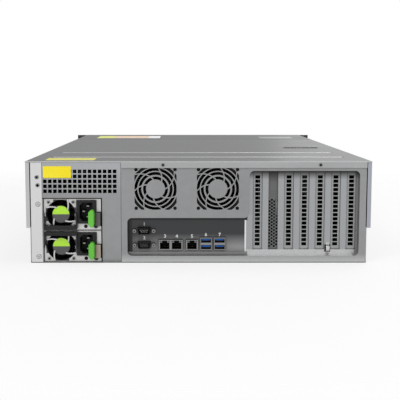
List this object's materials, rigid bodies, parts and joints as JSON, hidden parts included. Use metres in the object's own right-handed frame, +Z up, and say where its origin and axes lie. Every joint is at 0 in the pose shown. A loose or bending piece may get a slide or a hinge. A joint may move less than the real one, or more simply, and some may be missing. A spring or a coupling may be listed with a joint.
{
  "type": "storage server",
  "caption": "Rack storage server with front drive carriers, stacked hot-swap power supplies, swirl-grille rear fans, expansion slots and a sliding top cover.",
  "frame": {"origin": "middle of the footprint, on the surface that the server stands on", "axes": "+Y from the rear panel to the drive bays, +X to the right as seen from the rear, +Z up"},
  "size_m": [0.4826, 0.698, 0.132],
  "materials": {
    "galvanised_sheet": "galvanised, faint grain",
    "supply_metal": "nickel plated",
    "ear_paint": "black powder coat",
    "handle_metal": "black anodised",
    "shield_metal": "stamped, satin",
    "port_metal": "tin plated",
    "brass_posts": "plain",
    "cooler_metal": "extruded",
    "board_laminate": "solder mask",
    "fan_plastic": "moulded",
    "carrier_plastic": "moulded, fine grain",
    "inlet_plastic": "moulded",
    "latch_plastic": "moulded green",
    "grip_plastic": "dark grey sleeve",
    "control_plastic": "moulded",
    "button_plastic": "moulded"
  },
  "bodies": {
    "chassis": {"chassis_base": "galvanised_sheet", "rear_panel": "galvanised_sheet", "psu_bay_panel": "galvanised_sheet", "psu_cage": "galvanised_sheet", "front_cover": "galvanised_sheet", "drive_cage": "galvanised_sheet", "backplane": "board_laminate", "fan_wall": "galvanised_sheet", "wall_fan_frames": "fan_plastic", "rear_fan_frames": "fan_plastic", "motherboard": "board_laminate", "board_standoffs": "brass_posts", "cpu_heatsinks": "cooler_metal", "memory_modules": "board_laminate", "io_ports": "port_metal", "io_shield": "shield_metal", "slot_covers": "galvanised_sheet", "raid_card": "board_laminate", "ear_left": "ear_paint", "ear_right": "ear_paint", "handle_left": "handle_metal", "handle_right": "handle_metal", "control_panel": "control_plastic", "power_board": "board_laminate"},
    "top_cover": {"rear_cover": "galvanised_sheet"},
    "psu_upper": {"psu_upper_case": "supply_metal", "psu_upper_fan_frame": "fan_plastic", "psu_upper_inlet": "inlet_plastic"},
    "psu_upper_release": {"psu_upper_latch": "latch_plastic"},
    "psu_upper_handle": {"psu_upper_bail": "grip_plastic"},
    "psu_upper_fan": {"psu_upper_rotor": "fan_plastic"},
    "psu_lower": {"psu_lower_case": "supply_metal", "psu_lower_fan_frame": "fan_plastic", "psu_lower_inlet": "inlet_plastic"},
    "psu_lower_release": {"psu_lower_latch": "latch_plastic"},
    "psu_lower_handle": {"psu_lower_bail": "grip_plastic"},
    "psu_lower_fan": {"psu_lower_rotor": "fan_plastic"},
    "rear_fan_left": {"rear_rotor_left": "fan_plastic"},
    "rear_fan_right": {"rear_rotor_right": "fan_plastic"},
    "wall_fan_1": {"wall_rotor_1": "fan_plastic"},
    "wall_fan_2": {"wall_rotor_2": "fan_plastic"},
    "wall_fan_3": {"wall_rotor_3": "fan_plastic"},
    "power_key": {"power_button": "button_plastic"},
    "reset_key": {"reset_button": "button_plastic"},
    "carrier_1": {"drive_carrier_1": "carrier_plastic"},
    "carrier_2": {"drive_carrier_2": "carrier_plastic"},
    "carrier_3": {"drive_carrier_3": "carrier_plastic"},
    "carrier_4": {"drive_carrier_4": "carrier_plastic"},
    "carrier_5": {"drive_carrier_5": "carrier_plastic"},
    "carrier_6": {"drive_carrier_6": "carrier_plastic"},
    "carrier_7": {"drive_carrier_7": "carrier_plastic"},
    "carrier_8": {"drive_carrier_8": "carrier_plastic"},
    "carrier_9": {"drive_carrier_9": "carrier_plastic"},
    "carrier_10": {"drive_carrier_10": "carrier_plastic"},
    "carrier_11": {"drive_carrier_11": "carrier_plastic"},
    "carrier_12": {"drive_carrier_12": "carrier_plastic"},
    "carrier_13": {"drive_carrier_13": "carrier_plastic"},
    "carrier_14": {"drive_carrier_14": "carrier_plastic"},
    "carrier_15": {"drive_carrier_15": "carrier_plastic"},
    "carrier_16": {"drive_carrier_16": "carrier_plastic"}
  },
  "joints": [
    {"name": "top_cover_slide", "type": "slide", "parent": "chassis", "child": "top_cover", "axis": [0, -1, 0], "range_m": [0, 0.016]},
    {"name": "psu_upper_slide", "type": "slide", "parent": "chassis", "child": "psu_upper", "axis": [0, -1, 0], "range_m": [0, 0.19]},
    {"name": "psu_upper_latch_press", "type": "slide", "parent": "psu_upper", "child": "psu_upper_release", "axis": [-1, 0, 0], "range_m": [0, 0.0025], "stiffness_N_per_m": 1200, "springref_m": -0.001},
    {"name": "psu_upper_handle_swing", "type": "hinge", "parent": "psu_upper", "child": "psu_upper_handle", "pos_m": [-0.1776, -0.34, 0.06355], "axis": [-1, 0, 0], "range_deg": [0, 180]},
    {"name": "psu_upper_fan_spin", "type": "hinge", "parent": "psu_upper", "child": "psu_upper_fan", "pos_m": [-0.1774, -0.325, 0.06355], "axis": [0, 1, 0], "continuous": true},
    {"name": "psu_lower_slide", "type": "slide", "parent": "chassis", "child": "psu_lower", "axis": [0, -1, 0], "range_m": [0, 0.19]},
    {"name": "psu_lower_latch_press", "type": "slide", "parent": "psu_lower", "child": "psu_lower_release", "axis": [-1, 0, 0], "range_m": [0, 0.0025], "stiffness_N_per_m": 1200, "springref_m": -0.001},
    {"name": "psu_lower_handle_swing", "type": "hinge", "parent": "psu_lower", "child": "psu_lower_handle", "pos_m": [-0.1776, -0.34, 0.02165], "axis": [1, 0, 0], "range_deg": [0, 180]},
    {"name": "psu_lower_fan_spin", "type": "hinge", "parent": "psu_lower", "child": "psu_lower_fan", "pos_m": [-0.1774, -0.325, 0.02165], "axis": [0, 1, 0], "continuous": true},
    {"name": "rear_fan_left_spin", "type": "hinge", "parent": "chassis", "child": "rear_fan_left", "pos_m": [-0.0553, -0.325, 0.0964], "axis": [0, 1, 0], "continuous": true},
    {"name": "rear_fan_right_spin", "type": "hinge", "parent": "chassis", "child": "rear_fan_right", "pos_m": [0.0248, -0.325, 0.0964], "axis": [0, 1, 0], "continuous": true},
    {"name": "wall_fan_1_spin", "type": "hinge", "parent": "chassis", "child": "wall_fan_1", "pos_m": [-0.13, 0.103, 0.0655], "axis": [0, 1, 0], "continuous": true},
    {"name": "wall_fan_2_spin", "type": "hinge", "parent": "chassis", "child": "wall_fan_2", "pos_m": [0, 0.103, 0.0655], "axis": [0, 1, 0], "continuous": true},
    {"name": "wall_fan_3_spin", "type": "hinge", "parent": "chassis", "child": "wall_fan_3", "pos_m": [0.13, 0.103, 0.0655], "axis": [0, 1, 0], "continuous": true},
    {"name": "power_button_press", "type": "slide", "parent": "chassis", "child": "power_key", "axis": [0, -1, 0], "range_m": [0, 0.0012], "stiffness_N_per_m": 700, "springref_m": -0.0005},
    {"name": "reset_button_press", "type": "slide", "parent": "chassis", "child": "reset_key", "axis": [0, -1, 0], "range_m": [0, 0.0012], "stiffness_N_per_m": 500, "springref_m": -0.0005},
    {"name": "carrier_1_slide", "type": "slide", "parent": "chassis", "child": "carrier_1", "axis": [0, 1, 0], "range_m": [0, 0.17]},
    {"name": "carrier_2_slide", "type": "slide", "parent": "chassis", "child": "carrier_2", "axis": [0, 1, 0], "range_m": [0, 0.17]},
    {"name": "carrier_3_slide", "type": "slide", "parent": "chassis", "child": "carrier_3", "axis": [0, 1, 0], "range_m": [0, 0.17]},
    {"name": "carrier_4_slide", "type": "slide", "parent": "chassis", "child": "carrier_4", "axis": [0, 1, 0], "range_m": [0, 0.17]},
    {"name": "carrier_5_slide", "type": "slide", "parent": "chassis", "child": "carrier_5", "axis": [0, 1, 0], "range_m": [0, 0.17]},
    {"name": "carrier_6_slide", "type": "slide", "parent": "chassis", "child": "carrier_6", "axis": [0, 1, 0], "range_m": [0, 0.17]},
    {"name": "carrier_7_slide", "type": "slide", "parent": "chassis", "child": "carrier_7", "axis": [0, 1, 0], "range_m": [0, 0.17]},
    {"name": "carrier_8_slide", "type": "slide", "parent": "chassis", "child": "carrier_8", "axis": [0, 1, 0], "range_m": [0, 0.17]},
    {"name": "carrier_9_slide", "type": "slide", "parent": "chassis", "child": "carrier_9", "axis": [0, 1, 0], "range_m": [0, 0.17]},
    {"name": "carrier_10_slide", "type": "slide", "parent": "chassis", "child": "carrier_10", "axis": [0, 1, 0], "range_m": [0, 0.17]},
    {"name": "carrier_11_slide", "type": "slide", "parent": "chassis", "child": "carrier_11", "axis": [0, 1, 0], "range_m": [0, 0.17]},
    {"name": "carrier_12_slide", "type": "slide", "parent": "chassis", "child": "carrier_12", "axis": [0, 1, 0], "range_m": [0, 0.17]},
    {"name": "carrier_13_slide", "type": "slide", "parent": "chassis", "child": "carrier_13", "axis": [0, 1, 0], "range_m": [0, 0.17]},
    {"name": "carrier_14_slide", "type": "slide", "parent": "chassis", "child": "carrier_14", "axis": [0, 1, 0], "range_m": [0, 0.17]},
    {"name": "carrier_15_slide", "type": "slide", "parent": "chassis", "child": "carrier_15", "axis": [0, 1, 0], "range_m": [0, 0.17]},
    {"name": "carrier_16_slide", "type": "slide", "parent": "chassis", "child": "carrier_16", "axis": [0, 1, 0], "range_m": [0, 0.17]}
  ]
}
